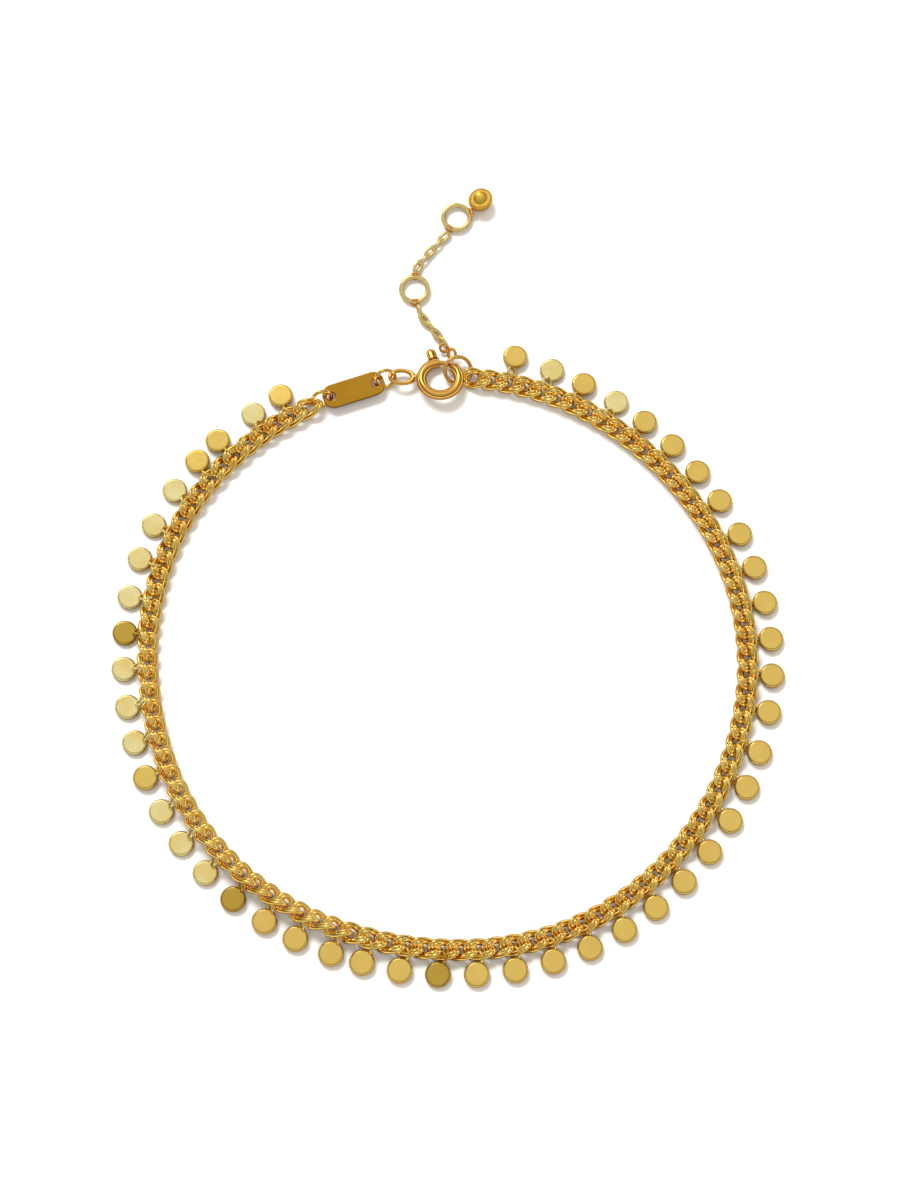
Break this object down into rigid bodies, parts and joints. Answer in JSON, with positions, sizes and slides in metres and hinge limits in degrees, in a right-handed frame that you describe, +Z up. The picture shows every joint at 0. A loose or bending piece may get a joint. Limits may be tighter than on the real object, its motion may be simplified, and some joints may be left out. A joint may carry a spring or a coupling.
{
  "type": "charm anklet",
  "caption": "Curb chain anklet with round disc charms, a bare tag plate, a spring ring clasp and a fine extender with sizing rings and a ball.",
  "frame": {"origin": "centre of the bounding box's bottom face, on the surface that the anklet lies on", "axes": "+Z up, out of that surface; +Y from the chain loop towards the extender and its ball; +X across the loop, to the right when the extender points away"},
  "size_m": [0.0826, 0.1028, 0.0029],
  "materials": {
    "chain_gold": "gold-plated, polished",
    "polished_gold": "gold-plated, mirror polished",
    "satin_gold": "gold-plated, satin polished",
    "pale_gold": "gold-plated, finely grained"
  },
  "bodies": {
    "anklet": {"curb_chain": "chain_gold", "charm_01": "satin_gold", "charm_02": "pale_gold", "charm_03": "satin_gold", "charm_04": "pale_gold", "charm_05": "satin_gold", "charm_06": "satin_gold", "charm_07": "satin_gold", "charm_08": "satin_gold", "charm_09": "satin_gold", "charm_10": "satin_gold", "charm_11": "satin_gold", "charm_12": "satin_gold", "charm_13": "satin_gold", "charm_14": "satin_gold", "charm_15": "satin_gold", "charm_16": "satin_gold", "charm_17": "satin_gold", "charm_18": "satin_gold", "charm_19": "satin_gold", "charm_20": "satin_gold", "charm_21": "satin_gold", "charm_22": "satin_gold", "charm_23": "satin_gold", "charm_24": "satin_gold", "charm_25": "satin_gold", "charm_26": "satin_gold", "charm_27": "satin_gold", "charm_28": "satin_gold", "charm_29": "satin_gold", "charm_30": "satin_gold", "charm_31": "satin_gold", "charm_32": "satin_gold", "charm_33": "pale_gold", "charm_34": "pale_gold", "charm_35": "pale_gold", "charm_36": "satin_gold", "charm_37": "pale_gold", "charm_38": "pale_gold", "charm_39": "pale_gold", "charm_40": "pale_gold", "charm_41": "pale_gold", "charm_42": "pale_gold", "charm_43": "pale_gold", "charm_44": "pale_gold", "charm_45": "satin_gold", "charm_46": "satin_gold", "charm_47": "pale_gold", "charm_48": "satin_gold", "tag_plate": "polished_gold", "clasp_body": "polished_gold", "plate_ring_left": "chain_gold", "plate_ring_right": "chain_gold", "end_ring": "chain_gold", "extender_ring_a": "pale_gold", "extender_ring_b": "pale_gold", "extender_chain_a": "pale_gold", "extender_chain_b": "pale_gold", "bead_drop": "polished_gold"},
    "trigger": {"clasp_trigger": "polished_gold"}
  },
  "joints": [
    {"name": "trigger_turn", "type": "hinge", "parent": "anklet", "child": "trigger", "pos_m": [-0.00098, 0.02563, 0.00128], "axis": [0, 0.2079, 0.9781], "range_deg": [0, 45], "stiffness_Nm_per_rad": 0.00001}
  ]
}
